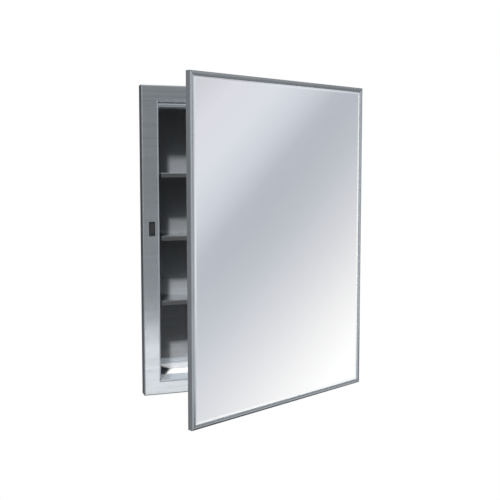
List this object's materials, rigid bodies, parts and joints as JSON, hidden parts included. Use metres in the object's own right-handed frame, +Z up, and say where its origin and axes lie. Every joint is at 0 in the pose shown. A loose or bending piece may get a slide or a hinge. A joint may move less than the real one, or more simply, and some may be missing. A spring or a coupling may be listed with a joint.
{
  "type": "medicine cabinet with mirror",
  "caption": "Recessed steel medicine cabinet: a box with a face flange, loose shelves on pegs, a magnetic catch, and a framed mirror door on a full-length side hinge.",
  "frame": {"origin": "the back panel's rear face, midway across and up the face flange", "axes": "+Y into the wall, +Z up, the hinge is on the +X side and the door opens towards -Y"},
  "size_m": [0.4527, 0.298, 0.6118],
  "materials": {
    "satin_steel": "brushed stainless steel, satin grain",
    "box_steel": "bright finished stainless steel",
    "shelf_steel": "satin stainless steel",
    "peg_zinc": "zinc plated",
    "catch_black": "moulded black",
    "catch_ferrite": "sintered ferrite, matt",
    "catch_pole_steel": "blackened steel",
    "hinge_steel": "rolled stainless strip",
    "pin_steel": "drawn wire",
    "rivet_steel": "plain",
    "frame_steel": "satin stainless steel, grain along each piece",
    "key_steel": "zinc plated",
    "mirror": "silvered float glass",
    "backing_pad": "fibre board",
    "back_plate": "galvanised sheet",
    "strike_steel": "plated steel"
  },
  "bodies": {
    "cabinet": {"back_panel": "box_steel", "bottom_panel": "box_steel", "catch_housing": "catch_black", "catch_magnet": "catch_ferrite", "catch_pole_left": "catch_pole_steel", "catch_pole_right": "catch_pole_steel", "face_flange": "satin_steel", "hinge_leaf_cabinet": "hinge_steel", "hinge_pin": "pin_steel", "hinge_rivet_cabinet_1": "rivet_steel", "hinge_rivet_cabinet_2": "rivet_steel", "hinge_rivet_cabinet_3": "rivet_steel", "hinge_rivet_cabinet_4": "rivet_steel", "shelf_peg_1_left_front": "peg_zinc", "shelf_peg_1_left_rear": "peg_zinc", "shelf_peg_1_right_front": "peg_zinc", "shelf_peg_1_right_rear": "peg_zinc", "shelf_peg_2_left_front": "peg_zinc", "shelf_peg_2_left_rear": "peg_zinc", "shelf_peg_2_right_front": "peg_zinc", "shelf_peg_2_right_rear": "peg_zinc", "shelf_peg_3_left_front": "peg_zinc", "shelf_peg_3_left_rear": "peg_zinc", "shelf_peg_3_right_front": "peg_zinc", "shelf_peg_3_right_rear": "peg_zinc", "side_panel_left": "box_steel", "side_panel_right": "box_steel", "top_panel": "box_steel"},
    "door": {"corner_key_bottom_free": "key_steel", "corner_key_bottom_hinge": "key_steel", "corner_key_top_free": "key_steel", "corner_key_top_hinge": "key_steel", "corner_screw_bottom_free": "rivet_steel", "corner_screw_bottom_hinge": "rivet_steel", "corner_screw_top_free": "rivet_steel", "corner_screw_top_hinge": "rivet_steel", "door_back_plate": "back_plate", "door_rail_bottom": "frame_steel", "door_rail_top": "frame_steel", "door_stile_free": "frame_steel", "door_stile_hinge": "frame_steel", "hinge_leaf_door": "hinge_steel", "hinge_rivet_door_1": "rivet_steel", "hinge_rivet_door_2": "rivet_steel", "hinge_rivet_door_3": "rivet_steel", "hinge_rivet_door_4": "rivet_steel", "mirror_backing_pad": "backing_pad", "mirror_glass": "mirror", "strike_plate": "strike_steel", "strike_rivet_1": "rivet_steel", "strike_rivet_2": "rivet_steel"},
    "shelf_1": {"shelf_1": "shelf_steel"},
    "shelf_2": {"shelf_2": "shelf_steel"},
    "shelf_3": {"shelf_3": "shelf_steel"}
  },
  "joints": [
    {"name": "door_hinge", "type": "hinge", "parent": "cabinet", "child": "door", "pos_m": [0.22775, -0.0906, 0], "axis": [0, 0, 1], "range_deg": [-25.4, 144.6]},
    {"name": "shelf_1_lift", "type": "slide", "parent": "cabinet", "child": "shelf_1", "axis": [0, 0, 1], "range_m": [0, 0.02]},
    {"name": "shelf_2_lift", "type": "slide", "parent": "cabinet", "child": "shelf_2", "axis": [0, 0, 1], "range_m": [0, 0.02]},
    {"name": "shelf_3_lift", "type": "slide", "parent": "cabinet", "child": "shelf_3", "axis": [0, 0, 1], "range_m": [0, 0.02]}
  ]
}
